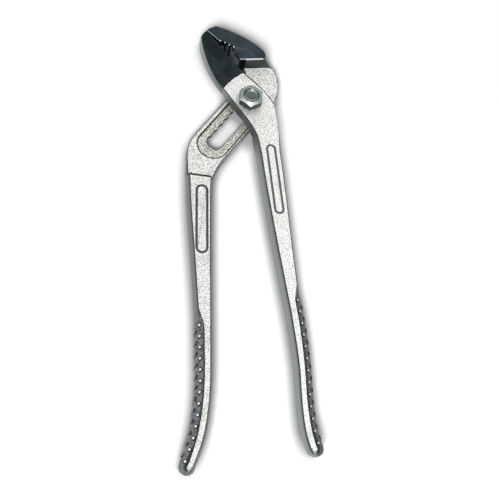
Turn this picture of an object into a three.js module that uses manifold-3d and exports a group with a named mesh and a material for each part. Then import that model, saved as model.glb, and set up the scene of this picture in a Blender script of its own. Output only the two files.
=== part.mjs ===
// Slip-joint water pump pliers, 250 mm class: two forged levers on a bolt that shifts in a notched slot.
// Millimetres. The tool lies on its back with +Z up, its jaws towards +Y and its handles towards -Y.
// The origin is on the pivot axis, in the plane of the tool's back. Angles are in degrees from +X.

import * as THREE from 'three';
import { ConvexGeometry } from 'three/addons/geometries/ConvexGeometry.js';
import { mergeVertices } from 'three/addons/utils/BufferGeometryUtils.js';
import Module from 'manifold-3d';

const wasm = await Module();
wasm.setup();

// Thicknesses
const thickness = 12;
const plateGap = 0.2;
const lowerTipThickness = 8;
const edgeBevel = 0.4;
const jawBevel = 0.25;

// Slip joint. The slot leans to the left as it runs down from the pivot.
const slotLean = 38.7;
const notchPitch = 5;
const notchCount = 7;
const slideGap = 0.25;
const bossDiameter = 15.8;
const bossHeight = 0.6;
const trackRun = 1.8;
const swingAngle = 35;
const sweepGap = 1.2;

// Bolt and nut
const boltDiameter = 8;
const boltStand = 0.5;
const boltChamfer = 0.6;
const boltLand = 0.3;
const boltDish = 0.6;
const boltDishRun = 0.85;
const headDiameter = 12.8;
const headAcross = 11;
const headHeight = 2.2;
const nutAcross = 12;
const nutHeight = 5.5;
const nutChamferAngle = 30;
const nutFaceInset = 1.4;
const nutBaseInset = 0.3;
const nutTurn = -5;
const threadGap = 0.2;
const threadSink = 0.25;

// Mouth, shut at its tip. Its upper side is a nose, a toothed hollow and a back wall, its lower one face.
const jawTip = [-21.8, 44.1];
const jawGap = 0.15;
const noseLength = 9.3;
const noseAngle = -44.6;
const hollowLength = 9.2;
const hollowAngle = -26.2;
const backLength = 7.9;
const backAngle = -69.7;
const biteLength = 31.9;
const biteAngle = -53.9;
const toothPitch = 2.65;
const toothDepth = 1.1;
const toothLean = 0.35;
const upperTeeth = 3;
const lowerTeeth = 6;
const lowerTeethStart = 10;

// Outer outlines of the jaws, as steps from the mouth's corners, and the pull of their curves
const browStep = [5.3, 3.1];
const browPull = [12.5, -3.2];
const tipPull = [-2.4, -0.7];
const tipLand = 0.4;
const heelStep = [13.8, 1.3];
const heelPull = [5.6, 4.6];
const lowerNoseStep = [-3.4, -4.3];
const lowerNosePull = [0.5, -9.8];
const lowerTipPull = [-2.3, -1.8];
const lowerHeel = [-14.4, 6.9];
const lowerHeelPull = [-6.1, 7.6];

// Sloped shoulder from the upper jaw's heel down to the joint plate
const shoulderDrop = 2.5;
const shoulderInnerRun = 3.2;
const shoulderOuterRun = 4.5;
const shoulderCornerDrop = 0.8;
const shoulderDepth = 4.5;

// Slotted lever's joint plate
const upperRim = 2.4;
const lowerRim = 1.4;
const neckRise = 1.5;
const plateRoundRun = -10;
const plateRoundPull = 7.2;
const plateHeelPull = [5.5, -7.6];
const plateCorner = 7.5;
const plateFillet = 12.5;
const rootInset = 0.5;
const rootTaper = 1.5;
const rootDepth = 6;
const stepY = -46.3;
const stepTilt = -7;

// Front lever's joint plate
const seamEnd = [13, -0.1];
const seamBow = 1;
const frontShoulderPull = [14.8, -8];
const frontEdgeEnd = [-3.1, -10];
const frontWaistPull = [1.4, -16.6];
const frontBlend = 4;
const frontRootDepth = 9;

// Handles. A station is [x, share of the handle's length, width at mid thickness], from the joint to the end.
const slottedRootY = -38;
const slottedHandleLength = 163.5;
const slottedGripLength = 75.5;
const slottedStations = [
  [-28.2, 0, 13.6],
  [-28.8, 0.135, 13.2],
  [-28.9, 0.317, 11],
  [-28.9, 0.501, 9.2],
  [-29.4, 0.625, 8.8],
  [-30.2, 0.752, 8.6],
  [-32.3, 0.853, 8.7],
  [-35, 0.924, 8.6],
  [-39.7, 1, 8],
];
const frontRootY = -17;
const frontHandleLength = 175.8;
const frontGripLength = 80.8;
const frontStations = [
  [8.6, 0, 13],
  [10.85, 0.159, 12.7],
  [13.3, 0.335, 11],
  [16, 0.506, 9],
  [18.6, 0.631, 9],
  [20.1, 0.757, 8.5],
  [20.3, 0.882, 8.5],
  [21.3, 0.955, 8.8],
  [23, 1, 8.6],
];
const sideBulge = 1.3;
const rootBulge = 0.2;
const bulgeRunIn = 16;
const gripRound = 4;
const gripRunIn = 12;
const endRound = 4;
const endSweep = 81;
const endThinning = 0.8;
const endCrown = 1.4;
const endLift = 0.4;
const endLiftRun = 12;

// Racetrack groove around each handle's plain panel
const panelGroove = 0.9;
const panelDepth = 0.5;
const slottedPanel = { top: [-28, -55.6], bottom: [-29.1, -88.4], width: 6.4 };
const frontPanel = { top: [9.95, -29.5], bottom: [12.35, -65.5], width: 5.2 };

// Facets
const roundFacets = 48;
const curveFacets = 10;
const handleSections = 44;
const endSections = 6;
const outerFacets = 8;
const innerFacets = 4;

// How far a cutting body runs past the face that it cuts
const overcut = 1;

const plate = (thickness - plateGap) / 2;
const frontBack = plate + plateGap;
const lowerTipBack = thickness - lowerTipThickness;
const boltRadius = boltDiameter / 2;
const laneRadius = boltRadius + slideGap;
const notchDepth = laneRadius - Math.sqrt(laneRadius ** 2 - (notchPitch / 2) ** 2);
const slotTravel = notchPitch * (notchCount - 1);
const trackRadius = bossDiameter / 2 + slideGap;
const upperEdge = trackRadius + notchDepth + upperRim;
const lowerEdge = -trackRadius - lowerRim;
const nutBottom = thickness + slideGap;
const nutTop = nutBottom + nutHeight;
const boltEnd = nutTop + boltStand;

const radians = THREE.MathUtils.degToRad;
const shift = ([x, y], [dx, dy]) => [x + dx, y + dy];
const along = ([x, y], angle, distance) => [
  x + distance * Math.cos(radians(angle)),
  y + distance * Math.sin(radians(angle)),
];

// Slot frame: run goes down the slot from the pivot, side goes towards the notched edge.
const slotSin = Math.sin(radians(slotLean));
const slotCos = Math.cos(radians(slotLean));
const inSlot = (run, side) => [-slotSin * run - slotCos * side, -slotCos * run + slotSin * side];
const runOf = ([x, y]) => -slotSin * x - slotCos * y;
const runAtX = (x, side) => -(x + slotCos * side) / slotSin;

const mouthNose = along(jawTip, noseAngle, noseLength);
const mouthHollow = along(mouthNose, hollowAngle, hollowLength);
const mouthBack = along(mouthHollow, backAngle, backLength);
const upperHeel = shift(mouthBack, heelStep);
const upperBrow = shift(jawTip, browStep);
const lowerTip = along(jawTip, biteAngle - 90, jawGap);
const lowerNose = shift(lowerTip, lowerNoseStep);
const throat = along(lowerTip, biteAngle, biteLength);

// Solids

function solid(geometry) {
  const bare = geometry.index ? geometry.toNonIndexed() : geometry.clone();
  bare.deleteAttribute('normal');
  bare.deleteAttribute('uv');
  const merged = mergeVertices(bare, 1e-4);
  const mesh = new wasm.Mesh({
    numProp: 3,
    vertProperties: new Float32Array(merged.attributes.position.array),
    triVerts: new Uint32Array(merged.index.array),
  });
  return new wasm.Manifold(mesh);
}

function geometryOf(body) {
  const mesh = body.getMesh();
  const geometry = new THREE.BufferGeometry();
  geometry.setAttribute('position', new THREE.BufferAttribute(mesh.vertProperties, 3));
  geometry.setIndex(new THREE.BufferAttribute(mesh.triVerts, 1));
  geometry.computeVertexNormals();
  return geometry;
}

function prism(shape, bottom, top, bevel = 0) {
  const geometry = new THREE.ExtrudeGeometry(shape, {
    depth: top - bottom - 2 * bevel,
    curveSegments: curveFacets,
    bevelEnabled: bevel > 0,
    bevelThickness: bevel,
    bevelSize: bevel,
    bevelOffset: -bevel,
    bevelSegments: 1,
  });
  geometry.translate(0, 0, bottom + bevel);
  return solid(geometry);
}

function polygon(points) {
  return new THREE.Shape(points.map(([x, y]) => new THREE.Vector2(x, y)));
}

// A rectangle in the slot frame
function slotBlock(runFrom, runTo, sideFrom, sideTo, bottom, top) {
  const corners = [[runFrom, sideFrom], [runTo, sideFrom], [runTo, sideTo], [runFrom, sideTo]];
  return prism(polygon(corners.map(([run, side]) => inSlot(run, side))), bottom, top);
}

function cylinder(radius, bottom, top, [x, y] = [0, 0]) {
  const geometry = new THREE.CylinderGeometry(radius, radius, top - bottom, roundFacets);
  geometry.rotateX(Math.PI / 2);
  geometry.translate(x, y, (bottom + top) / 2);
  return solid(geometry);
}

function turned(profile) {
  const points = profile.map(([radius, z]) => new THREE.Vector2(radius, z));
  const geometry = new THREE.LatheGeometry(points, roundFacets);
  geometry.rotateX(Math.PI / 2);
  return solid(geometry);
}

// An outline with round ends between two points
function stadium([x0, y0], [x1, y1], radius) {
  const turn = Math.atan2(y1 - y0, x1 - x0);
  const shape = new THREE.Shape();
  shape.absarc(x0, y0, radius, turn + Math.PI / 2, turn + 1.5 * Math.PI, false);
  shape.absarc(x1, y1, radius, turn - Math.PI / 2, turn + Math.PI / 2, false);
  shape.closePath();
  return shape;
}

// Handle: a loft of sections with a flat front and back and bowed sides

function sectionPoints(width, innerBow, outerBow) {
  const half = thickness / 2;
  const bowed = (bow, step, steps) => {
    const radius = (half ** 2 + bow ** 2) / (2 * bow);
    const reach = Math.asin((half - edgeBevel) / radius);
    const angle = -reach + (2 * reach * step) / steps;
    return [width / 2 - radius + radius * Math.cos(angle), half + radius * Math.sin(angle)];
  };
  const outerEdge = width / 2 - outerBow - edgeBevel;
  const innerEdge = innerBow + edgeBevel - width / 2;
  const points = [[outerEdge, 0]];
  for (let step = 0; step <= outerFacets; step += 1) {
    points.push(bowed(outerBow, step, outerFacets));
  }
  points.push([outerEdge, thickness], [innerEdge, thickness]);
  for (let step = innerFacets; step >= 0; step -= 1) {
    const [reach, z] = bowed(innerBow, step, innerFacets);
    points.push([-reach, z]);
  }
  points.push([innerEdge, 0]);
  return points;
}

function handle(stations, topY, length, gripLength, outward) {
  const spine = new THREE.CatmullRomCurve3(stations.map(([x, share, width]) => (
    new THREE.Vector3(x, topY - length * share, width)
  )));
  const endY = topY - length;
  const gripStartY = endY + gripLength;
  const rows = [];
  for (let row = 0; row <= handleSections; row += 1) {
    const share = row / handleSections;
    const { x, y, z: width } = spine.getPoint(share);
    const tangent = spine.getTangent(share);
    const side = new THREE.Vector2(-tangent.y, tangent.x).normalize().multiplyScalar(outward);
    const bulge = THREE.MathUtils.smoothstep(topY - y, 0, bulgeRunIn);
    const gripped = THREE.MathUtils.smoothstep(gripStartY - y, -gripRunIn / 2, gripRunIn / 2);
    const innerBow = THREE.MathUtils.lerp(rootBulge, sideBulge, bulge);
    const outerBow = THREE.MathUtils.lerp(innerBow, gripRound, gripped);
    const fullWidth = Math.max(width, innerBow + outerBow + 3 * edgeBevel);
    const section = sectionPoints(fullWidth, innerBow, outerBow);
    const lift = endLift * THREE.MathUtils.smoothstep(endLiftRun - (y - endY), 0, endLiftRun);
    rows.push(section.map(([reach, z]) => [
      x + side.x * reach,
      y + side.y * reach,
      thickness - (thickness - z) * (1 - lift),
    ]));
  }
  return loft(rows.concat(roundedEnd(rows[handleSections], spine.getTangent(1))), outward);
}

// Sections that carry the last one on into a rounded end, whose front curves down and back curves up
function roundedEnd(last, tangent) {
  const ahead = new THREE.Vector2(tangent.x, tangent.y).normalize();
  const middle = last.reduce((sum, [x, y]) => [sum[0] + x / last.length, sum[1] + y / last.length], [0, 0]);
  const rows = [];
  for (let step = 1; step <= endSections; step += 1) {
    const angle = radians((endSweep * step) / endSections);
    const narrow = Math.cos(angle);
    const thin = 1 - endThinning * (1 - narrow);
    const advance = endRound * Math.sin(angle);
    rows.push(last.map(([x, y, z]) => [
      middle[0] + (x - middle[0]) * narrow + ahead.x * advance,
      middle[1] + (y - middle[1]) * narrow + ahead.y * advance,
      thickness - (thickness - z) * thin - endCrown * (1 - narrow),
    ]));
  }
  return rows;
}

function loft(rows, outward) {
  const count = rows[0].length;
  const triangles = [];
  const face = (a, b, c) => triangles.push(...(outward < 0 ? [a, b, c] : [a, c, b]));
  for (let row = 0; row + 1 < rows.length; row += 1) {
    for (let column = 0; column < count; column += 1) {
      const here = row * count + column;
      const next = row * count + ((column + 1) % count);
      face(here, here + count, next);
      face(next, here + count, next + count);
    }
  }
  const lastRow = (rows.length - 1) * count;
  for (let column = 1; column + 1 < count; column += 1) {
    face(0, column, column + 1);
    face(lastRow, lastRow + column + 1, lastRow + column);
  }
  const geometry = new THREE.BufferGeometry();
  geometry.setAttribute('position', new THREE.Float32BufferAttribute(rows.flat(2), 3));
  geometry.setIndex(triangles);
  return solid(geometry);
}

function panelRing({ top, bottom, width }) {
  const floor = thickness - panelDepth;
  const roof = thickness + overcut;
  const outer = prism(stadium(top, bottom, width / 2), floor, roof);
  const inner = prism(stadium(top, bottom, width / 2 - panelGroove), floor - overcut, roof + overcut);
  return outer.subtract(inner);
}

// Notches between saw teeth, cut from a mouth face. Side is 1 where the jaw lies to the left of the run.
function toothNotches(start, angle, count, side) {
  const notches = [];
  for (let tooth = 0; tooth < count; tooth += 1) {
    const tip = along(start, angle, tooth * toothPitch);
    const nextTip = along(tip, angle, toothPitch);
    const root = along(along(tip, angle, toothPitch * toothLean), angle + 90 * side, toothDepth);
    const outside = [nextTip, tip].map((point) => along(point, angle - 90 * side, overcut));
    notches.push(prism(polygon([tip, root, nextTip, ...outside]), -overcut, thickness + overcut));
  }
  return notches.reduce((joined, notch) => joined.add(notch));
}

// Slotted lever

function slottedPlate() {
  const [rootX, , rootWidth] = slottedStations[0];
  const left = rootX - rootWidth / 2 + rootInset;
  const right = rootX + rootWidth / 2 - rootInset;
  const bottomY = stepY - rootDepth;
  const cornerRun = runAtX(left, upperEdge);
  const filletRun = runAtX(right, lowerEdge);
  const [, cornerY] = inSlot(cornerRun, upperEdge);
  const [, filletY] = inSlot(filletRun, lowerEdge);
  const shape = new THREE.Shape();
  shape.moveTo(left + rootTaper, bottomY);
  shape.lineTo(left, stepY);
  shape.lineTo(left, cornerY - plateCorner);
  shape.quadraticCurveTo(left, cornerY, ...inSlot(cornerRun - plateCorner, upperEdge));
  shape.lineTo(...inSlot(runOf(throat) - neckRise, upperEdge));
  shape.lineTo(...shift(mouthBack, [shoulderInnerRun, -shoulderDrop]));
  shape.lineTo(...shift(mouthBack, [shoulderInnerRun, shoulderDepth]));
  shape.lineTo(...shift(upperHeel, [0, shoulderDepth / 2]));
  const corner = shift(upperHeel, [shoulderOuterRun, -shoulderCornerDrop]);
  const pull = inSlot(plateRoundRun - plateRoundPull, lowerEdge);
  shape.lineTo(...corner);
  shape.bezierCurveTo(...shift(corner, plateHeelPull), ...pull, ...inSlot(plateRoundRun, lowerEdge));
  shape.lineTo(...inSlot(filletRun - plateFillet, lowerEdge));
  shape.quadraticCurveTo(right, filletY, right - rootTaper, filletY - plateFillet);
  shape.closePath();
  return prism(shape, 0, plate, edgeBevel);
}

function upperJaw() {
  const crown = shift(jawTip, [0, tipLand]);
  const shape = new THREE.Shape();
  shape.moveTo(...jawTip);
  shape.lineTo(...mouthNose);
  shape.lineTo(...mouthHollow);
  shape.lineTo(...mouthBack);
  shape.lineTo(...upperHeel);
  shape.bezierCurveTo(...shift(upperHeel, heelPull), ...shift(upperBrow, browPull), ...upperBrow);
  shape.quadraticCurveTo(...shift(upperBrow, tipPull), ...crown);
  shape.closePath();
  const toothStart = along(mouthNose, hollowAngle, (hollowLength - upperTeeth * toothPitch) / 2);
  return prism(shape, 0, thickness, jawBevel)
    .subtract(toothNotches(toothStart, hollowAngle, upperTeeth, 1));
}

function heelShoulder() {
  const low = plate - bossHeight;
  const high = thickness - edgeBevel;
  const points = [
    [...shift(mouthBack, [shoulderInnerRun, -shoulderDrop]), low],
    [...shift(upperHeel, [shoulderOuterRun, -shoulderDrop]), low],
    [...shift(upperHeel, [shoulderOuterRun, -shoulderCornerDrop]), low],
    [...shift(upperHeel, [0, shoulderDepth]), low],
    [...shift(mouthBack, [shoulderInnerRun, shoulderDepth]), low],
    [...mouthBack, high],
    [...upperHeel, high],
    [...shift(upperHeel, [0, shoulderDepth]), high],
    [...shift(mouthBack, [0, shoulderDepth]), high],
  ];
  return solid(new ConvexGeometry(points.map((point) => new THREE.Vector3(...point))));
}

function slotCut() {
  const top = plate + overcut;
  const lane = stadium(inSlot(0, 0), inSlot(slotTravel, 0), laneRadius);
  let cut = prism(lane, -overcut, top);
  for (let notch = 0; notch < notchCount; notch += 1) {
    cut = cut.add(cylinder(laneRadius, -overcut, top, inSlot(notch * notchPitch, notchDepth)));
  }
  return cut;
}

// Track in the front for the boss, and one in the back for the bolt's flat-sided head.
// Both leave room for the pivot to move over into a notch.
function bossTrack() {
  const floor = plate - bossHeight;
  const top = plate + overcut;
  const end = slotTravel + trackRun;
  const lane = stadium(inSlot(0, 0), inSlot(end, 0), trackRadius);
  const seated = stadium(inSlot(0, notchDepth), inSlot(end, notchDepth), trackRadius);
  return prism(lane, floor, top)
    .add(prism(seated, floor, top))
    .add(slotBlock(0, end, -trackRadius, trackRadius + notchDepth, floor, top));
}

function headTrack() {
  const reach = headDiameter / 2 + slideGap;
  const near = -headAcross / 2 - slideGap;
  const far = headAcross / 2 + slideGap + notchDepth;
  return slotBlock(-reach, slotTravel + reach, near, far, -overcut, headHeight + slideGap);
}

// Space above the joint plate, which ends at the step up to the handle
function aboveStep() {
  const [rootX] = slottedStations[0];
  const size = 4 * (slottedRootY - stepY);
  const geometry = new THREE.BoxGeometry(size, size, thickness);
  geometry.translate(0, size / 2, plate + thickness / 2);
  geometry.rotateZ(radians(stepTilt));
  geometry.translate(rootX, stepY, 0);
  return solid(geometry);
}

function slottedLever() {
  return handle(slottedStations, slottedRootY, slottedHandleLength, slottedGripLength, -1)
    .subtract(aboveStep())
    .subtract(panelRing(slottedPanel))
    .add(slottedPlate())
    .add(upperJaw())
    .add(heelShoulder())
    .subtract(slotCut())
    .subtract(bossTrack())
    .subtract(headTrack());
}

// Front lever

function frontHead() {
  const [rootX, , rootWidth] = frontStations[0];
  const left = rootX - rootWidth / 2;
  const right = rootX + rootWidth / 2;
  const blendY = frontRootY - frontBlend;
  const bottomY = frontRootY - frontRootDepth;
  const seamMiddle = [(throat[0] + seamEnd[0]) / 2, (throat[1] + seamEnd[1]) / 2];
  const seamTurn = THREE.MathUtils.radToDeg(Math.atan2(seamEnd[1] - throat[1], seamEnd[0] - throat[0]));
  const shape = new THREE.Shape();
  shape.moveTo(...lowerTip);
  shape.quadraticCurveTo(...shift(lowerTip, lowerTipPull), ...lowerNose);
  shape.bezierCurveTo(...shift(lowerNose, lowerNosePull), ...shift(lowerHeel, lowerHeelPull), ...lowerHeel);
  shape.lineTo(...frontEdgeEnd);
  shape.quadraticCurveTo(...frontWaistPull, left + rootInset, blendY);
  shape.lineTo(left + frontBlend, bottomY);
  shape.lineTo(right - frontBlend, bottomY);
  shape.lineTo(right, blendY);
  shape.quadraticCurveTo(...frontShoulderPull, ...seamEnd);
  shape.quadraticCurveTo(...along(seamMiddle, seamTurn + 90, 2 * seamBow), ...throat);
  shape.closePath();
  const toothStart = along(lowerTip, biteAngle, lowerTeethStart);
  return prism(shape, lowerTipBack, thickness, jawBevel)
    .subtract(behindLowerJaw())
    .subtract(toothNotches(toothStart, biteAngle, lowerTeeth, -1));
}

// Space behind the lower jaw, whose back slopes up from its tip and runs on level behind the front plate
function behindLowerJaw() {
  const levelEnd = along(throat, biteAngle, thickness);
  const points = [-biteLength, biteLength].flatMap((across) => {
    const aside = (point) => along(point, biteAngle + 90, across);
    const [tip, root, end] = [lowerTip, throat, levelEnd].map(aside);
    return [[...tip, 0], [...end, 0], [...tip, lowerTipBack], [...root, frontBack], [...end, frontBack]];
  });
  return solid(new ConvexGeometry(points.map((point) => new THREE.Vector3(...point))));
}

// Space that the slotted lever's plate sweeps behind the front plate, from closed to fully open
function sweptPlate() {
  const far = 10 * thickness;
  const jawSide = upperEdge + sweepGap;
  const handleSide = lowerEdge - sweepGap;
  const half = Math.tan(radians(swingAngle / 2));
  const cos = Math.cos(radians(swingAngle));
  const sin = Math.sin(radians(swingAngle));
  const jawApex = [-jawSide * half, jawSide];
  const handleApex = [-handleSide * half, handleSide];
  const outline = [
    [-far, jawSide],
    jawApex,
    [jawApex[0] + far * cos, jawApex[1] + far * sin],
    [far, handleSide],
    handleApex,
    [handleApex[0] - far * cos, handleApex[1] - far * sin],
  ];
  return prism(polygon(outline.map(([run, side]) => inSlot(run, side))), -overcut, frontBack);
}

function frontLever() {
  return handle(frontStations, frontRootY, frontHandleLength, frontGripLength, 1)
    .add(frontHead())
    .subtract(sweptPlate())
    .subtract(panelRing(frontPanel))
    .add(cylinder(bossDiameter / 2, frontBack - bossHeight, frontBack + overcut))
    .subtract(cylinder(laneRadius, 0, thickness + overcut));
}

// Bolt and nut

function pivotBolt() {
  const headReach = headDiameter / 2;
  const dishRadius = boltRadius - boltChamfer - boltLand;
  const flats = slotBlock(-headReach, headReach, -headAcross / 2, headAcross / 2, 0, headHeight);
  const shank = turned([
    [0, headHeight / 2],
    [boltRadius, headHeight / 2],
    [boltRadius, boltEnd - boltChamfer],
    [boltRadius - boltChamfer, boltEnd],
    [dishRadius, boltEnd],
    [dishRadius - boltDishRun, boltEnd - boltDish],
    [0, boltEnd - boltDish],
  ]);
  return cylinder(headReach, 0, headHeight).intersect(flats).add(shank);
}

function hexNut() {
  const corner = nutAcross / Math.sqrt(3);
  const hexagon = polygon([0, 1, 2, 3, 4, 5].map((side) => along([0, 0], 90 + nutTurn + 60 * side, corner)));
  const faceRadius = nutAcross / 2 - nutFaceInset;
  const baseRadius = nutAcross / 2 - nutBaseInset;
  const slope = Math.tan(radians(nutChamferAngle));
  const chamfers = turned([
    [0, nutBottom],
    [baseRadius, nutBottom],
    [corner, nutBottom + (corner - baseRadius) * slope],
    [corner, nutTop - (corner - faceRadius) * slope],
    [faceRadius, nutTop],
    [0, nutTop],
  ]);
  const bore = boltRadius + threadGap;
  const mouth = bore + threadSink + overcut;
  const hole = turned([
    [0, nutBottom - overcut],
    [mouth, nutBottom - overcut],
    [bore, nutBottom + threadSink],
    [bore, nutTop - threadSink],
    [mouth, nutTop + overcut],
    [0, nutTop + overcut],
  ]);
  return prism(hexagon, nutBottom, nutTop).intersect(chamfers).subtract(hole);
}

function part(name, body, color, roughness, metalness) {
  const material = new THREE.MeshStandardMaterial({ color, roughness, metalness });
  const mesh = new THREE.Mesh(geometryOf(body), material);
  mesh.name = name;
  return mesh;
}

const pliers = new THREE.Group();
pliers.add(part('slotted_lever', slottedLever(), 0xd4d5d3, 0.35, 0.9));
pliers.add(part('front_lever', frontLever(), 0xd9dad8, 0.35, 0.9));
pliers.add(part('pivot_bolt', pivotBolt(), 0x7c8a87, 0.3, 1));
pliers.add(part('hex_nut', hexNut(), 0x869390, 0.3, 1));

export default pliers;
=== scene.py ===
"""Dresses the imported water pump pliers.

It gives the forged levers their plating, dark polished jaws and nubbed grips, and the bolt and the nut
their steel, and sets the tool in a white studio.
"""

import logging
import math
from dataclasses import dataclass
from enum import Enum

import bmesh
import bpy
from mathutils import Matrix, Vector
from mathutils.bvhtree import BVHTree

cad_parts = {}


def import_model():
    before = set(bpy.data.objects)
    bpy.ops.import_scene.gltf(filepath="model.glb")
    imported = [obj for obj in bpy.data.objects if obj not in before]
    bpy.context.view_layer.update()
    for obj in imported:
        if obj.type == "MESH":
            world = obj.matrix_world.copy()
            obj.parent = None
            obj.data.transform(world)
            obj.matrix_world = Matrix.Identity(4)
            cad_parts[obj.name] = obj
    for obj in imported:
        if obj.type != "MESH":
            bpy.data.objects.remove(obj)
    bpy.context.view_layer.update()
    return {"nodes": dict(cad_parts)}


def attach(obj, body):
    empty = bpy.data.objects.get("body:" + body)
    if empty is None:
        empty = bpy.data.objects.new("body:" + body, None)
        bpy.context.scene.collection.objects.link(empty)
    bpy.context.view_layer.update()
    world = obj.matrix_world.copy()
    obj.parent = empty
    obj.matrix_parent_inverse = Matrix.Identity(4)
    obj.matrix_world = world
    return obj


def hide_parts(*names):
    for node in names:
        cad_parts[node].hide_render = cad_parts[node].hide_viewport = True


LOG = logging.getLogger("pliers")
MM = 0.001
METAL = 1.0

Tree = bpy.types.NodeTree
Socket = bpy.types.NodeSocket
Point = tuple[float, float]
Place = tuple[float, float, float]
Span = tuple[float, float]

# Numbers of the Mix node's sockets, because their names repeat for each kind of value
MIX_FLOAT_A, MIX_FLOAT_B = 2, 3
MIX_COLOUR_A, MIX_COLOUR_B, MIX_COLOUR_OUT = 6, 7, 2

# Attributes that the nubs' points, tree and finish share
CROWN = "crown"
OUTWARD = "outward"


def linear(code: str) -> tuple[float, float, float, float]:
    """Turns an sRGB hex colour to a linear one.

    Args:
        code: Colour as "#rrggbb".
    Returns:
        Linear red, green, blue and an alpha of 1.
    """
    parts = [int(code[i:i + 2], 16) / 255 for i in (1, 3, 5)]
    red, green, blue = (p / 12.92 if p <= 0.04045 else ((p + 0.055) / 1.055) ** 2.4 for p in parts)
    return red, green, blue, 1.0


def add_node(tree: Tree, kind: str, inputs: dict | None = None, **settings: object) -> bpy.types.Node:
    """Adds a node with its settings, values and links.

    Args:
        tree: Tree that gets the node.
        kind: Blender's name of the node type.
        inputs: Socket name or number to a value, or to the socket that is linked to it.
        **settings: The node's own properties.
    Returns:
        The new node.
    """
    node = tree.nodes.new(kind)
    for name, value in settings.items():
        setattr(node, name, value)
    for key, value in (inputs or {}).items():
        if isinstance(value, bpy.types.NodeSocket):
            tree.links.new(value, node.inputs[key])
        else:
            node.inputs[key].default_value = value
    return node


def blank_material(name: str) -> tuple[bpy.types.Material, Tree]:
    """Starts a material with an empty tree.

    Args:
        name: Name of the real material.
    Returns:
        The material and its tree.
    """
    material = bpy.data.materials.new(name)
    material.use_nodes = True
    material.node_tree.nodes.clear()
    return material, material.node_tree


def end_material(tree: Tree, inputs: dict) -> None:
    """Ends a material with its shader and its output.

    Args:
        tree: The material's tree.
        inputs: The shader's values and links by socket name.
    """
    shader = add_node(tree, "ShaderNodeBsdfPrincipled", inputs)
    add_node(tree, "ShaderNodeOutputMaterial", {"Surface": shader.outputs["BSDF"]})


def ramp(tree: Tree, value: Socket, low: float, high: float) -> Socket:
    """Smooth mask that is 0 at low and 1 at high.

    Args:
        tree: Tree that gets the node.
        value: Number to read.
        low: Where the mask is 0. It may be above high.
        high: Where the mask is 1.
    Returns:
        The mask.
    """
    settings = {"Value": value, "From Min": min(low, high), "From Max": max(low, high)}
    settings |= {"To Min": float(low > high), "To Max": float(low < high)}
    return add_node(tree, "ShaderNodeMapRange", settings, interpolation_type="SMOOTHSTEP").outputs["Result"]


def every(tree: Tree, *masks: Socket) -> Socket:
    """Product of masks.

    Args:
        tree: Tree that gets the nodes.
        *masks: Two or more masks.
    Returns:
        A mask that is 1 where all of them are.
    """
    result = masks[0]
    for mask in masks[1:]:
        result = add_node(tree, "ShaderNodeMath", {0: result, 1: mask}, operation="MULTIPLY").outputs[0]
    return result


def blend(tree: Tree, mask: Socket, under: Socket | str, over: Socket | str) -> Socket:
    """Lays one colour over another through a mask.

    Args:
        tree: Tree that gets the node.
        mask: Share of the colour on top.
        under: Hex colour or colour socket below.
        over: Hex colour or colour socket on top.
    Returns:
        The mixed colour.
    """
    below, above = (linear(paint) if isinstance(paint, str) else paint for paint in (under, over))
    inputs = {"Factor": mask, MIX_COLOUR_A: below, MIX_COLOUR_B: above}
    return add_node(tree, "ShaderNodeMix", inputs, data_type="RGBA").outputs[MIX_COLOUR_OUT]


def seen_directly(tree: Tree) -> Socket:
    """Mask of the rays by which the camera sees a thing, straight or in metal or glass.

    Args:
        tree: Tree that gets the nodes.
    Returns:
        A mask that is 1 for camera, glossy and transmission rays.
    """
    path = add_node(tree, "ShaderNodeLightPath").outputs
    mirrored = {0: path["Is Glossy Ray"], 1: path["Is Transmission Ray"]}
    either = add_node(tree, "ShaderNodeMath", mirrored, operation="MAXIMUM").outputs[0]
    seen = {0: either, 1: path["Is Camera Ray"]}
    return add_node(tree, "ShaderNodeMath", seen, operation="MAXIMUM").outputs[0]


class SurfaceReader:
    """Position in millimetres and facing of a surface, read once for a material."""

    def __init__(self, tree: Tree) -> None:
        """Adds the reading nodes.

        Args:
            tree: The material's tree.
        """
        coords = add_node(tree, "ShaderNodeTexCoord").outputs
        scaled = {0: coords["Object"], "Scale": 1 / MM}
        self.tree = tree
        self.normal = coords["Normal"]
        self.place = add_node(tree, "ShaderNodeVectorMath", scaled, operation="SCALE").outputs[0]
        self.at = add_node(tree, "ShaderNodeSeparateXYZ", {"Vector": self.place}).outputs
        self.facing = add_node(tree, "ShaderNodeSeparateXYZ", {"Vector": self.normal}).outputs
        upright = {0: self.facing["Z"]}
        self.flatness = add_node(tree, "ShaderNodeMath", upright, operation="ABSOLUTE").outputs[0]
        plan = {0: self.place, 1: (1, 1, 0)}
        self.plan = add_node(tree, "ShaderNodeVectorMath", plan, operation="MULTIPLY").outputs[0]

    def between(self, value: Socket, low: float, high: float, soft: float) -> Socket:
        """Mask of a range with soft ends.

        Args:
            value: Number to read.
            low: Lower end.
            high: Upper end.
            soft: Width of each soft end, outside the range.
        Returns:
            A mask that is 1 in the range.
        """
        rising = ramp(self.tree, value, low - soft, low)
        return every(self.tree, rising, ramp(self.tree, value, high + soft, high))

    def noise(
        self, size: float, detail: float = 2.0, roughness: float = 0.5, at: Socket | None = None
    ) -> Socket:
        """Even noise.

        Args:
            size: Size of its spots in millimetres.
            detail: Number of finer layers.
            roughness: Weight of the finer layers.
            at: Place to read in millimetres, or none for the place on the surface.
        Returns:
            The noise, about 0.5 on average.
        """
        settings = {"Vector": at or self.place, "Scale": 1 / size, "Detail": detail, "Roughness": roughness}
        return add_node(self.tree, "ShaderNodeTexNoise", settings).outputs["Fac"]


class Side(Enum):
    """Which way a lever's grip faces."""

    LEFT = -1
    RIGHT = 1


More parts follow.
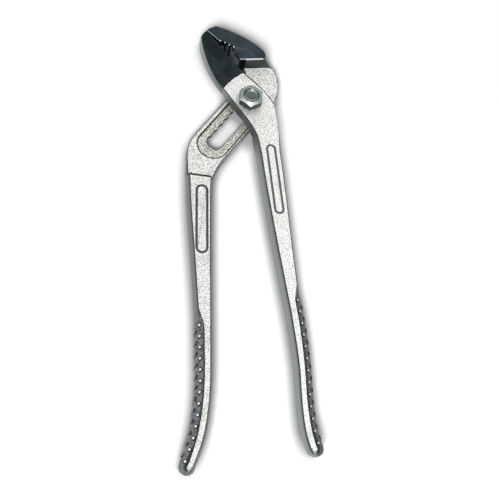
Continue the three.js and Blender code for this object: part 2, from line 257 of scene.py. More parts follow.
@dataclass(frozen=True)
class Racetrack:
    """Band along an outline with two round ends, or along a line or a ring, between two levels.

    Sizes are in millimetres. The band is full up to one share of its width from its middle, and gone at
    another.
    """

    start: Point
    end: Point
    radius: float
    width: float
    levels: Span
    full_share: float = 0.35
    gone_share: float = 0.75
    level_soft: float = 0.1
    shortest: float = 1e-6

    def mask(self, read: SurfaceReader) -> Socket:
        """Builds the band's mask.

        Args:
            read: The surface's place and facing.
        Returns:
            A mask that is 1 on the band.
        """
        tree = read.tree
        start, end = (Vector((*spot, 0)) for spot in (self.start, self.end))
        run = end - start
        along = run / max(run.length_squared, self.shortest)
        ends = {0: read.plan, 1: start}
        near = add_node(tree, "ShaderNodeVectorMath", ends, operation="SUBTRACT").outputs[0]
        share = add_node(tree, "ShaderNodeVectorMath", {0: near, 1: along}, operation="DOT_PRODUCT")
        held = add_node(tree, "ShaderNodeClamp", {"Value": share.outputs["Value"]}).outputs[0]
        foot = add_node(tree, "ShaderNodeVectorMath", {0: run, "Scale": held}, operation="SCALE").outputs[0]
        away = add_node(tree, "ShaderNodeVectorMath", {0: near, 1: foot}, operation="DISTANCE")
        past = {0: away.outputs["Value"], 1: self.radius}
        miss = add_node(tree, "ShaderNodeMath", past, operation="SUBTRACT").outputs[0]
        off = add_node(tree, "ShaderNodeMath", {0: miss}, operation="ABSOLUTE").outputs[0]
        band = ramp(tree, off, self.gone_share * self.width, self.full_share * self.width)
        return every(tree, band, read.between(read.at["Z"], *self.levels, self.level_soft))


@dataclass(frozen=True)
class JawZone:
    """Where a lever's plating ends and its polished jaw begins: outside a large circle and above a level.

    Sizes are in millimetres. The circle's edge is torn a little, as worn plating is.
    """

    centre: Point
    radius: float
    level: float
    level_soft: float = 0.5
    tear: float = 1.2
    tear_mm: float = 1.2
    tear_detail: float = 1.0
    edge_soft: float = 0.2

    def mask(self, read: SurfaceReader) -> Socket:
        """Builds the jaw's mask.

        Args:
            read: The surface's place and facing.
        Returns:
            A mask that is 1 on the jaw.
        """
        tree = read.tree
        ends = {0: read.plan, 1: (*self.centre, 0)}
        away = add_node(tree, "ShaderNodeVectorMath", ends, operation="DISTANCE").outputs["Value"]
        torn = {0: read.noise(self.tear_mm, self.tear_detail), 1: self.tear, 2: away}
        away = add_node(tree, "ShaderNodeMath", torn, operation="MULTIPLY_ADD").outputs[0]
        edge = self.radius + self.tear / 2
        outside = ramp(tree, away, edge - self.edge_soft, edge + self.edge_soft)
        return every(tree, outside, ramp(tree, read.at["Y"], self.level - self.level_soft, self.level))


@dataclass(frozen=True)
class PlatedForging:
    """Chrome plating over a drop forging: bright and finely pitted on its flats, near black on the polished
    jaws. The grey of its sides and the dark lines in its grooves and along its eased edges are painted
    shade, and the light lines, patches and sides of its jaws are painted highlights and painted reflections.

    Sizes are in millimetres. A span of a mask gives the values at which the mask is 0 and 1. Real pits are
    finer: they are drawn as coarse as they need to show.
    """

    pale: str = "#fafaf7"
    speck: str = "#9a9c99"
    # Painted shade of the slot's walls
    slot_wall_shade: str = "#5f5d57"
    # Painted shade of the walls near the joint
    joint_wall_shade: str = "#626b6b"
    # Painted reflection on the jaw's faces that look right
    jaw_inner_reflection: str = "#606769"
    # Painted highlight along a facet's edge on the jaw
    facet_highlight: str = "#4e5b62"
    # Painted light on the heel's shoulder
    shoulder_light: str = "#4a4b4e"
    # Painted highlights along the jaw's edges and on the tooth tips
    edge_glint: str = "#e6ecee"
    # Painted shade in grooves, along steps and along seams
    groove_shade: str = "#3a3f3f"
    # Dark grey of the painted shade on the eased edges and the upper lip, which also mottles the grip's side
    edge: str = "#565c5b"
    track: str = "#ecece2"
    track_speck: str = "#7d7e77"
    matt: Span = (0.45, 0.65)
    polish: Span = (0.12, 0.26)
    smudge_mm: float = 3.0
    grain_mm: float = 0.55
    grain_roughness: float = 0.6
    pit_depth: float = 0.08
    mottle_mm: float = 9.0
    mottle_span: Span = (0.5, 1.1)
    flat_span: Span = (0.97, 0.995)
    eased_range: Span = (0.62, 0.8)
    eased_soft: float = 0.08
    joint_span: Span = (-40.0, -15.0)
    joint_fade_below: float = 22.0
    joint_fade_above: float = 4.0
    track_span: Span = (0.42, 0.56)
    track_soft: float = 0.1
    wall_span: Span = (0.45, 0.95)
    rim_span: Span = (0.4, 0.6)
    rim_facing: Span = (0.2, 0.5)
    lip_span: Span = (10.8, 11.6)
    lip_facing: Span = (0.0, -0.2)
    cast_mm: float = 1.6
    cast_detail: float = 3.0
    cast_span: Span = (0.3, 0.6)
    grip_fade: float = 4.0
    grip_facing: Span = (0.0, 0.15)
    grip_border: Span = (0.87, 0.94)
    steep_span: Span = (0.5, 0.35)
    jaw_outer_facing: Span = (-0.25, -0.45)
    jaw_inner_facing: Span = (0.3, 0.5)
    sheen_span: Span = (0.3, 0.7)
    # Noise that breaks up the painted highlight on the teeth's outer flanks
    flank_glint_mm: float = 2.0
    flank_glint_span: Span = (0.35, 0.6)

    def material(self, lever: "Lever") -> bpy.types.Material:
        """Builds the finish for one lever.

        Args:
            lever: Lever whose jaw, grooves and grip are marked.
        Returns:
            The material.
        """
        material, tree = blank_material(f"plated_forging_{lever.node}")
        read = SurfaceReader(tree)
        flat = ramp(tree, read.flatness, *self.flat_span)
        grain = read.noise(self.grain_mm, roughness=self.grain_roughness)
        jaw = lever.jaw.mask(read)
        colour = self._plating(read, lever, flat, grain)
        colour = self._grip(read, lever, flat, colour)
        colour = self._jaw(read, lever, jaw, colour)
        # Painted shade: dark lines along the track's edge, the step, the plate's edge and the lower jaw's
        # back, and in the panel's groove.
        for line in lever.lines:
            colour = blend(tree, line.mask(read), colour, self.groove_shade)
        colour = blend(tree, lever.panel.mask(read), colour, lever.panel_shade)
        plated = add_node(tree, "ShaderNodeMath", {0: 1.0, 1: jaw}, operation="SUBTRACT").outputs[0]
        pits = {"Height": grain, "Strength": every(tree, flat, plated), "Distance": self.pit_depth * MM}
        end_material(tree, {
            "Base Color": colour,
            "Metallic": METAL,
            "Roughness": self._gloss(read, jaw, grain),
            "Normal": add_node(tree, "ShaderNodeBump", pits).outputs["Normal"],
        })
        return material

    def _gloss(self, read: SurfaceReader, jaw: Socket, grain: Socket) -> Socket:
        """Makes the plating matt and the jaw polished.

        Args:
            read: The surface's place and facing.
            jaw: Mask of the jaw.
            grain: Noise of the plating's pits.
        Returns:
            The roughness.
        """
        tree = read.tree
        low, high = self.matt
        dull = {"Value": grain, "To Min": low, "To Max": high}
        low, high = self.polish
        bright = {"Value": read.noise(self.smudge_mm), "To Min": low, "To Max": high}
        return add_node(tree, "ShaderNodeMix", {
            "Factor": jaw,
            MIX_FLOAT_A: add_node(tree, "ShaderNodeMapRange", dull).outputs[0],
            MIX_FLOAT_B: add_node(tree, "ShaderNodeMapRange", bright).outputs[0],
        }).outputs[0]

    def _plating(self, read: SurfaceReader, lever: "Lever", flat: Socket, grain: Socket) -> Socket:
        """Colours the pitted flats, the walls in a painted grey shade and the eased edges in a painted dark
        shade.

        Args:
            read: The surface's place and facing.
            lever: The lever.
            flat: Mask of the flats.
            grain: Noise of the plating's pits.
        Returns:
            The colour.
        """
        tree = read.tree
        joint = ramp(tree, read.at["Y"], *self.joint_span)
        walls = self._walls(read, lever, joint, grain)
        faces = blend(tree, flat, walls, self._flats(read, lever, joint, grain))
        # Painted shade: the eased edges get a dark line.
        eased_shade = read.between(read.flatness, *self.eased_range, self.eased_soft)
        return blend(tree, eased_shade, faces, self.edge)

    def _flats(self, read: SurfaceReader, lever: "Lever", joint: Socket, grain: Socket) -> Socket:
        """Colours the pitted flats, the warm floor of the track and the ledges in the walls' painted grey
        shade.

        Args:
            read: The surface's place and facing.
            lever: The lever.
            joint: Mask of the joint's half of the lever.
            grain: Noise of the plating's pits.
        Returns:
            The colour.
        """
        tree = read.tree
        mottle = ramp(tree, read.noise(self.mottle_mm), *self.mottle_span)
        rougher = {0: joint, 1: -lever.joint_pits, 2: grain}
        pits = add_node(tree, "ShaderNodeMath", rougher, operation="MULTIPLY_ADD").outputs[0]
        spotted = blend(tree, ramp(tree, pits, *lever.pit_span), self.speck, self.pale)
        flats = blend(tree, mottle, spotted, self.speck)
        if lever.track_floor is not None:
            low, high = lever.track_floor - self.track_soft, lever.track_floor + self.track_soft
            sunk = read.between(read.at["Z"], low, high, self.track_soft)
            warm = blend(tree, ramp(tree, grain, *self.track_span), self.track_speck, self.track)
            flats = blend(tree, sunk, flats, warm)
        # Painted shade: ledges on the flats take the walls' grey.
        for ledge in lever.ledges:
            flats = blend(tree, ledge.mask(read), flats, lever.wall_shade)
        return flats

    def _walls(self, read: SurfaceReader, lever: "Lever", joint: Socket, grain: Socket) -> Socket:
        """Colours the walls: a painted grey shade, a darker painted shade near the joint, along the upper
        lip and in the slot, and the rim colour on the joint half's walls that look right.

        Args:
            read: The surface's place and facing.
            lever: The lever.
            joint: Mask of the joint's half of the lever.
            grain: Noise of the plating's pits.
        Returns:
            The colour.
        """
        tree, y = read.tree, read.at["Y"]
        # Painted shade: the side walls are grey, standing in for the darker surroundings that they mirror.
        sides = lever.wall_shade
        # Painted shade: the walls darken towards the joint, where they mirror the shaded plate.
        if lever.joint_wall_shade is not None:
            low, high = lever.joint_wall_shade
            rising = ramp(tree, y, low - self.joint_fade_below, low)
            falling = ramp(tree, y, high + self.joint_fade_above, high - self.joint_fade_above)
            sides = blend(tree, every(tree, rising, falling), lever.wall_shade, self.joint_wall_shade)
        walls = blend(tree, ramp(tree, grain, *self.wall_span), sides, self.speck)
        # Walls that look right in the joint half take the rim colour: the plating's own pale on the slotted
        # lever, a grey painted shade on the front lever.
        rim = every(tree, ramp(tree, read.facing["X"], *self.rim_facing), joint)
        rimmed = blend(tree, ramp(tree, grain, *self.rim_span), self.speck, lever.rim)
        walls = blend(tree, rim, walls, rimmed)
        # Painted shade: a dark band along the top of the walls that look left.
        upper = ramp(tree, read.at["Z"], *self.lip_span)
        lip_shade = every(tree, upper, ramp(tree, read.facing["X"], *self.lip_facing))
        walls = blend(tree, lip_shade, walls, self.edge)
        # Painted shade: the walls inside the slot are darkened, as shade falls there.
        for slot in lever.slots:
            walls = blend(tree, slot.mask(read), walls, self.slot_wall_shade)
        return walls

    def _grip(self, read: SurfaceReader, lever: "Lever", flat: Socket, under: Socket) -> Socket:
        """Darkens the bowed outer side of the grip with a painted shade, and draws a painted shade line
        along its border with the flat.

        Args:
            read: The surface's place and facing.
            lever: The lever.
            flat: Mask of the flats.
            under: Colour so far.
        Returns:
            The colour.
        """
        tree = read.tree
        outward = {0: read.facing["X"], 1: float(lever.side.value)}
        outer = add_node(tree, "ShaderNodeMath", outward, operation="MULTIPLY").outputs[0]
        rounded = add_node(tree, "ShaderNodeMath", {0: 1.0, 1: flat}, operation="SUBTRACT").outputs[0]
        below = ramp(tree, read.at["Y"], lever.grip_top + self.grip_fade, lever.grip_top - self.grip_fade)
        grip = every(tree, rounded, ramp(tree, outer, *self.grip_facing), below)
        rough = ramp(tree, read.noise(self.cast_mm, self.cast_detail), *self.cast_span)
        # Painted shade: the grip's bowed side is darkened and mottled.
        colour = blend(tree, grip, under, blend(tree, rough, self.edge, lever.grip))
        # Painted shade: a dark line along the grip's border with the flat.
        border = every(tree, grip, ramp(tree, read.facing["Z"], *self.grip_border))
        return blend(tree, border, colour, self.groove_shade)

    def _jaw(self, read: SurfaceReader, lever: "Lever", jaw: Socket, under: Socket) -> Socket:
        """Colours the polished jaw, with painted reflections on its sides and painted light on its facet,
        shoulder, teeth and edges.

        Args:
            read: The surface's place and facing.
            lever: The lever.
            jaw: Mask of the jaw.
            under: Colour so far.
        Returns:
            The colour.
        """
        tree = read.tree
        steep = ramp(tree, read.flatness, *self.steep_span)
        outer = every(tree, steep, ramp(tree, read.facing["X"], *self.jaw_outer_facing))
        inner = ramp(tree, read.facing["X"], *self.jaw_inner_facing)
        sheen = ramp(tree, read.noise(self.mottle_mm), *self.sheen_span)
        dark = blend(tree, sheen, lever.jaw_dark, lever.jaw_light)
        # Painted highlight: a faint light ring along a facet's edge on the upper jaw.
        for line in lever.facet_highlights:
            dark = blend(tree, line.mask(read), dark, self.facet_highlight)
        # Painted light: the heel's shoulder is lightened.
        for step in lever.shoulder_lights:
            dark = blend(tree, step.mask(read), dark, self.shoulder_light)
        # Painted highlight: bright patches on the teeth's outer flanks, broken up by noise.
        bite = lever.bite.mask(read)
        flank_glint = every(tree, bite, outer, ramp(tree, read.noise(self.flank_glint_mm), *self.flank_glint_span))
        bitten = blend(tree, flank_glint, dark, lever.tooth)
        # Painted reflection: the jaw's steep sides that look left take a lighter colour, and its faces that
        # look right a grey one.
        dressed = blend(tree, bite, blend(tree, outer, dark, lever.jaw_side_reflection), bitten)
        dressed = blend(tree, inner, dressed, self.jaw_inner_reflection)
        colour = blend(tree, jaw, under, dressed)
        # Painted highlights: bright lines along the mouth's and the heel's edges and the plate's top edge,
        # and dots on the tooth tips.
        for line in lever.glint_lines:
            colour = blend(tree, line.mask(read), colour, self.edge_glint)
        return colour


@dataclass(frozen=True)
class MachinedSteel:
    """Plain steel cut on a lathe or from hexagon bar: grey with a green cast and turning rings, a painted
    highlight on its slopes that lean towards -y, painted shade on its walls, and painted light below a given
    level.

    Sizes are in millimetres. Real turning rings are finer: they are drawn as coarse as they need to show.
    """

    name: str
    base: str
    ring: str
    # Painted shade of the steep walls
    wall_shade: str
    # Painted light below this level, on the bolt's head
    head_light_below: float | None = None
    head_light_soft: float = 0.1
    head_light: str = "#dfe1e0"
    # Painted highlight on the slopes that lean towards -y
    painted_highlight: str = "#c3cac7"
    highlight_lean: Place = (-0.26, -0.97, 0.0)
    highlight_rise: Span = (0.2, 0.42)
    highlight_tilt: Span = (0.6, 0.75)
    ring_mm: float = 0.6
    ring_span: Span = (0.3, 0.7)
    ring_depth: float = 0.05
    ring_strength: float = 0.3
    wall_mm: float = 2.0
    wall_span: Span = (0.5, 1.0)
    face_span: Span = (0.3, 0.6)
    gloss: Span = (0.28, 0.42)

    def material(self) -> bpy.types.Material:
        """Builds the finish.

        Returns:
            The material.
        """
        material, tree = blank_material(self.name)
        read = SurfaceReader(tree)
        reach = add_node(tree, "ShaderNodeVectorMath", {0: read.plan}, operation="LENGTH").outputs["Value"]
        rings = add_node(tree, "ShaderNodeCombineXYZ", {"X": reach, "Y": read.at["Z"]}).outputs[0]
        turning = read.noise(self.ring_mm, at=rings)
        # Painted highlight: slopes that lean towards -y are lighter.
        lean = {0: read.normal, 1: self.highlight_lean}
        lower = add_node(tree, "ShaderNodeVectorMath", lean, operation="DOT_PRODUCT").outputs["Value"]
        tilted = ramp(tree, read.flatness, *self.highlight_tilt)
        sloped = every(tree, ramp(tree, lower, *self.highlight_rise), tilted)
        faces = blend(tree, ramp(tree, turning, *self.ring_span), self.base, self.ring)
        faces = blend(tree, sloped, faces, self.painted_highlight)
        # Painted shade: the steep walls are darker than the faces.
        walls = blend(tree, ramp(tree, read.noise(self.wall_mm), *self.wall_span), self.wall_shade, self.base)
        colour = blend(tree, ramp(tree, read.flatness, *self.face_span), walls, faces)
        # Painted light: the bolt's head under the plates is lightened.
        if self.head_light_below is not None:
            head = ramp(tree, read.at["Z"], self.head_light_below, self.head_light_below - self.head_light_soft)
            colour = blend(tree, head, colour, self.head_light)
        low, high = self.gloss
        rough = {"Value": turning, "To Min": low, "To Max": high}
        cut = {"Height": turning, "Strength": self.ring_strength, "Distance": self.ring_depth * MM}
        end_material(tree, {
            "Base Color": colour,
            "Metallic": METAL,
            "Roughness": add_node(tree, "ShaderNodeMapRange", rough).outputs[0],
            "Normal": add_node(tree, "ShaderNodeBump", cut).outputs["Normal"],
        })
        return material


@dataclass(frozen=True)
class NubsWithPaintedLight:
    """Plating with a painted highlight on the crowns of the grip's nubs that face up, and painted shade at
    their feet. Sizes in millimetres.
    """

    name: str
    # Painted highlight on the crowns that face up, and painted shade at the feet
    crown: str
    foot: str = "#34373a"
    crown_rise: Span = (0.74, 0.95)
    crown_facing: Span = (0.5, 0.72)
    grain_mm: float = 0.8
    gloss: Span = (0.2, 0.3)

    def material(self) -> bpy.types.Material:
        """Builds the finish.

        Returns:
            The material.
        """
        material, tree = blank_material(self.name)
        coords = add_node(tree, "ShaderNodeTexCoord").outputs
        rise = add_node(tree, "ShaderNodeAttribute", attribute_name=CROWN).outputs["Fac"]
        facing = add_node(tree, "ShaderNodeSeparateXYZ", {"Vector": coords["Normal"]}).outputs["Z"]
        upward = ramp(tree, facing, *self.crown_facing)
        # Painted highlight on the crowns that face up; the rest of each nub keeps the foot's painted shade.
        painted_highlight = every(tree, ramp(tree, rise, *self.crown_rise), upward)
        spots = {"Vector": coords["Object"], "Scale": 1 / (self.grain_mm * MM)}
        grain = add_node(tree, "ShaderNodeTexNoise", spots).outputs["Fac"]
        low, high = self.gloss
        rough = {"Value": grain, "To Min": low, "To Max": high}
        end_material(tree, {
            "Base Color": blend(tree, painted_highlight, self.foot, self.crown),
            "Metallic": METAL,
            "Roughness": add_node(tree, "ShaderNodeMapRange", rough).outputs[0],
        })
        return material


def nub_tree(segments: int = 12, rings: int = 8) -> Tree:
    """Builds the tree that sets a flattened dome on each point, turned to the point's outward direction.

    Args:
        segments: Faces round a dome.
        rings: Faces from pole to pole.
    Returns:
        The tree. Its inputs are the points, the dome's radius and height, and its finish.
    """
    tree = bpy.data.node_groups.new("grip_nubs", "GeometryNodeTree")
    inputs = {"Points": "Geometry", "Radius": "Float", "Height": "Float", "Finish": "Material"}
    for name, kind in inputs.items():
        tree.interface.new_socket(name, in_out="INPUT", socket_type=f"NodeSocket{kind}")
    tree.interface.new_socket("Nubs", in_out="OUTPUT", socket_type="NodeSocketGeometry")
    given = add_node(tree, "NodeGroupInput").outputs
    ball = {"Segments": segments, "Rings": rings, "Radius": 1.0}
    spot = add_node(tree, "GeometryNodeInputPosition").outputs[0]
    marked = add_node(tree, "GeometryNodeStoreNamedAttribute", {
        "Geometry": add_node(tree, "GeometryNodeMeshUVSphere", ball).outputs["Mesh"],
        "Name": CROWN,
        "Value": add_node(tree, "ShaderNodeSeparateXYZ", {"Vector": spot}).outputs["Z"],
    }, data_type="FLOAT", domain="POINT").outputs["Geometry"]
    outward = add_node(tree, "GeometryNodeInputNamedAttribute", {"Name": OUTWARD}, data_type="FLOAT_VECTOR")
    lean = {"Vector": outward.outputs["Attribute"]}
    size = {"X": given["Radius"], "Y": given["Radius"], "Z": given["Height"]}
    placed = add_node(tree, "GeometryNodeInstanceOnPoints", {
        "Points": given["Points"],
        "Instance": marked,
        "Rotation": add_node(tree, "FunctionNodeAlignRotationToVector", lean, axis="Z").outputs["Rotation"],
        "Scale": add_node(tree, "ShaderNodeCombineXYZ", size).outputs[0],
    }).outputs["Instances"]
    real = add_node(tree, "GeometryNodeRealizeInstances", {"Geometry": placed}).outputs["Geometry"]
    smooth = add_node(tree, "GeometryNodeSetShadeSmooth", {"Geometry": real}).outputs["Geometry"]
    dressed = add_node(tree, "GeometryNodeSetMaterial", {"Geometry": smooth, "Material": given["Finish"]})
    add_node(tree, "NodeGroupOutput", {"Nubs": dressed.outputs["Geometry"]})
    return tree


def plain_mesh(source: bpy.types.Object, name: str) -> bpy.types.Object:
    """Turns an object and its modifiers into a new object with a plain mesh, and removes the first.

    Args:
        source: Object with its modifiers.
        name: Name of the new object.
    Returns:
        The new object.
    """
    graph = bpy.context.evaluated_depsgraph_get()
    mesh = bpy.data.meshes.new_from_object(source.evaluated_get(graph))
    bpy.data.objects.remove(source)
    mesh.name = name
    piece = bpy.data.objects.new(name, mesh)
    bpy.context.scene.collection.objects.link(piece)
    return piece


@dataclass(frozen=True)
class NubRows:
    """Rows of nubs round the grip's bowed outer side, in millimetres and degrees.

    A staggered row has its nubs between those of the others. A ray from outside finds each nub's place.
    """

    top: float
    bottom: float
    angles: tuple[float, ...]
    staggered: tuple[int, ...] = (1, 2)
    count: int = 13
    radius: float = 1.3
    height: float = 0.45
    bow_inset: float = 2.2
    middle: float = 6.0
    ray_start: float = 20.0

    def points(self, lever: "Lever", surface: BVHTree) -> list[tuple[Vector, Vector]]:
        """Finds where each nub sits on the grip.

        Args:
            lever: Lever that carries the nubs.
            surface: The lever's skin.
        Returns:
            Each nub's place in metres and its outward direction.
        """
        pitch = (self.top - self.bottom) / (self.count - 1)
        found = []
        for row, angle in enumerate(self.angles):
            odd = row in self.staggered
            rise = math.radians(angle)
            for number in range(self.count - odd):
                y = self.top - pitch * (number + odd / 2)
                x, lean = lever.spine_at(y)
                out = Vector((math.cos(lean), math.sin(lean), 0)) * lever.side.value
                core = Vector((x, y, self.middle)) - out * self.bow_inset
                ray = out * math.cos(rise) + Vector((0, 0, math.sin(rise)))
                spot, normal, _, _ = surface.ray_cast((core + ray * self.ray_start) * MM, -ray)
                found.append((spot, normal))
        return found


@dataclass(frozen=True)
class Lever:
    """One forged lever: its skin with eased edges and the nubs of its grip. Millimetres and degrees."""

    node: str
    side: Side
    spine: tuple[Point, ...]
    grip_top: float
    jaw: JawZone
    jaw_dark: str
    jaw_light: str
    # Painted reflection on the jaw's steep sides that look left
    jaw_side_reflection: str
    # Colour of the painted highlight on the teeth's outer flanks; on the front lever it is the jaw's own
    # tone
    tooth: str
    # Grey painted shade of the side walls
    wall_shade: str
    grip: str
    rim: str
    pit_span: Span
    bite: Racetrack
    panel: Racetrack
    panel_shade: str
    lines: tuple[Racetrack, ...]
    nubs: NubRows
    nub_finish: NubsWithPaintedLight
    joint_pits: float = 0.0
    # Span along y where the walls take the joint's painted shade
    joint_wall_shade: Span | None = None
    track_floor: float | None = None
    slots: tuple[Racetrack, ...] = ()
    ledges: tuple[Racetrack, ...] = ()
    facet_highlights: tuple[Racetrack, ...] = ()
    shoulder_lights: tuple[Racetrack, ...] = ()
    glint_lines: tuple[Racetrack, ...] = ()
    finish: PlatedForging = PlatedForging()
    merge: float = 0.02
    ease: float = 0.12
    ease_steps: int = 2
    ease_angle: float = 40.0
    smooth_angle: float = 32.0
    level_normal: float = 0.9999

    def spine_at(self, y: float) -> Point:
        """Finds the handle's middle line.

        Args:
            y: Place along the handle.
        Returns:
            The middle's x, and the angle of the line across the handle there.
        """
        for (x0, y0), (x1, y1) in zip(self.spine, self.spine[1:]):
            if y1 <= y <= y0:
                return x0 + (x1 - x0) * (y - y0) / (y1 - y0), math.atan2(-(x1 - x0), y1 - y0) + math.pi
        raise ValueError(f"{y} is off the handle {self.node}")

    def build_skin(self, node: bpy.types.Object) -> bpy.types.Object:
        """Copies the solid with its edges eased.

        Args:
            node: The lever's solid.
        Returns:
            The skin.
        """
        mesh = node.data.copy()
        work = bmesh.new()
        work.from_mesh(mesh)
        bmesh.ops.remove_doubles(work, verts=work.verts, dist=self.merge * MM)
        work.to_mesh(mesh)
        work.free()
        rough = bpy.data.objects.new(f"{self.node}_rough", mesh)
        bpy.context.scene.collection.objects.link(rough)
        bevel = rough.modifiers.new("eased_edges", "BEVEL")
        bevel.width = self.ease * MM
        bevel.segments = self.ease_steps
        bevel.limit_method = "ANGLE"
        bevel.angle_limit = math.radians(self.ease_angle)
        bevel.use_clamp_overlap = False
        skin = plain_mesh(rough, f"{self.node}_skin")
        skin.data.shade_smooth()
        skin.data.set_sharp_from_angle(angle=math.radians(self.smooth_angle))
        for face in skin.data.polygons:
            face.use_smooth = abs(face.normal.z) < self.level_normal
        return skin

    def build_nubs(self, skin: bpy.types.Object, tree: Tree) -> bpy.types.Object:
        """Sets the nubs on the grip, with their finish.

        Args:
            skin: The lever's skin.
            tree: Tree that sets domes on points.
        Returns:
            The nubs as one piece.
        """
        found = self.nubs.points(self, BVHTree.FromObject(skin, bpy.context.evaluated_depsgraph_get()))
        mesh = bpy.data.meshes.new(f"{self.node}_points")
        mesh.from_pydata([spot for spot, _ in found], [], [])
        outward = mesh.attributes.new(OUTWARD, "FLOAT_VECTOR", "POINT")
        outward.data.foreach_set("vector", [part for _, normal in found for part in normal])
        carrier = bpy.data.objects.new(f"{self.node}_points", mesh)
        bpy.context.scene.collection.objects.link(carrier)
        modifier = carrier.modifiers.new("nubs", "NODES")
        modifier.node_group = tree
        values = {"Radius": self.nubs.radius * MM, "Height": self.nubs.height * MM}
        values["Finish"] = self.nub_finish.material()
        for item in tree.interface.items_tree:
            if item.in_out == "INPUT" and item.name in values:
                modifier[item.identifier] = values[item.name]
        bpy.context.view_layer.update()
        return plain_mesh(carrier, f"{self.node}_grip_nubs")

    def dress(self, skin: bpy.types.Object) -> None:
        """Gives the skin its plating.

        Args:
            skin: The lever's skin.
        """
        skin.data.materials.clear()
        skin.data.materials.append(self.finish.material(self))

    def assemble(self, nodes: dict, tree: Tree) -> None:
        """Builds, dresses and hangs the lever's pieces on its body.

        Args:
            nodes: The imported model's nodes.
            tree: Tree that sets domes on points.
        """
        skin = self.build_skin(nodes[self.node])
        self.dress(skin)
        nubs = self.build_nubs(skin, tree)
        for piece in (skin, nubs):
            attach(piece, self.node)
            LOG.info("%s: %d faces", piece.name, len(piece.data.polygons))
        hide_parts(self.node)


@dataclass(frozen=True)
class Fastening:
    """The bolt and the nut, which keep their solids."""

    bolt: MachinedSteel = MachinedSteel(
        "turned_bolt_steel", "#5c6765", "#6d7875", "#424a48", head_light_below=2.4, painted_highlight="#8f9a97",
    )
    nut: MachinedSteel = MachinedSteel("hexagon_bar_steel", "#7d8784", "#99a29f", "#3c4341")

    def dress(self, nodes: dict) -> None:
        """Gives both solids their finish.

        Args:
            nodes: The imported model's nodes.
        """
        for name, finish in (("pivot_bolt", self.bolt), ("hex_nut", self.nut)):
            material = finish.material()
            for slot in nodes[name].material_slots:
                slot.material = material
            LOG.info("%s: %d faces", name, len(nodes[name].data.polygons))


@dataclass(frozen=True)
class Shot:
    """The photograph's view, in millimetres and degrees. The clip range is in metres."""

    position: Place = (-112.819, -354.228, 582.999)
    aim: Place = (-4.359, -89.279, 12.0)
    roll: float = 1.5506
    lens: float = 90.0
    sensor: float = 36.0
    clip: Span = (0.01, 20.0)

    def build(self) -> None:
        """Makes the camera and takes it as the scene's."""
        camera = bpy.data.cameras.new("camera")
        camera.lens, camera.sensor_width, camera.sensor_fit = self.lens, self.sensor, "HORIZONTAL"
        camera.clip_start, camera.clip_end = self.clip
        ahead = (Vector(self.aim) - Vector(self.position)).normalized()
        roll = math.radians(self.roll)
        hint = Vector((-math.sin(roll), math.cos(roll), 0))
        up = (hint - Vector((0, 0, 1)) * (ahead.dot(hint) / ahead.z)).normalized()
        right = ahead.cross(up)
        holder = bpy.data.objects.new("camera", camera)
        for row in range(3):
            holder.matrix_world[row][0] = right[row]
            holder.matrix_world[row][1] = up[row]
            holder.matrix_world[row][2] = -ahead[row]
            holder.matrix_world[row][3] = self.position[row] * MM
        bpy.context.scene.collection.objects.link(holder)
        bpy.context.scene.camera = holder


@dataclass(frozen=True)
class Lamp:
    """A square lamp that gives the edges their glints. Metres and watts."""

    place: Place = (-0.05, -0.42, 0.62)
    aim: Place = (0.0, -0.08, 0.0)
    size: float = 0.12
    power: float = 1.1

    def build(self) -> None:
        """Makes the lamp."""
        light = bpy.data.lights.new("front_lamp", "AREA")
        light.energy, light.size = self.power, self.size
        lamp = bpy.data.objects.new("front_lamp", light)
        lamp.location = self.place
        lamp.rotation_euler = (Vector(self.aim) - Vector(self.place)).to_track_quat("-Z", "Y").to_euler()
        bpy.context.scene.collection.objects.link(lamp)


@dataclass(frozen=True)
class SoftSun:
    """Wide even light from the camera's side, in metres and degrees.

    It gives the floor its soft shadow. Metal does not mirror it.
    """

    place: Place = (-0.22, -0.354, 0.583)
    aim: Place = (0.0, 0.2, 0.0)
    spread: float = 22.0
    strength: float = 3.35

    def build(self) -> None:
        """Makes the light."""
        light = bpy.data.lights.new("soft_sun", "SUN")
        light.energy, light.angle = self.strength, math.radians(self.spread)
        sun = bpy.data.objects.new("soft_sun", light)
        sun.rotation_euler = (Vector(self.aim) - Vector(self.place)).to_track_quat("-Z", "Y").to_euler()
        sun.visible_glossy = False
        bpy.context.scene.collection.objects.link(sun)


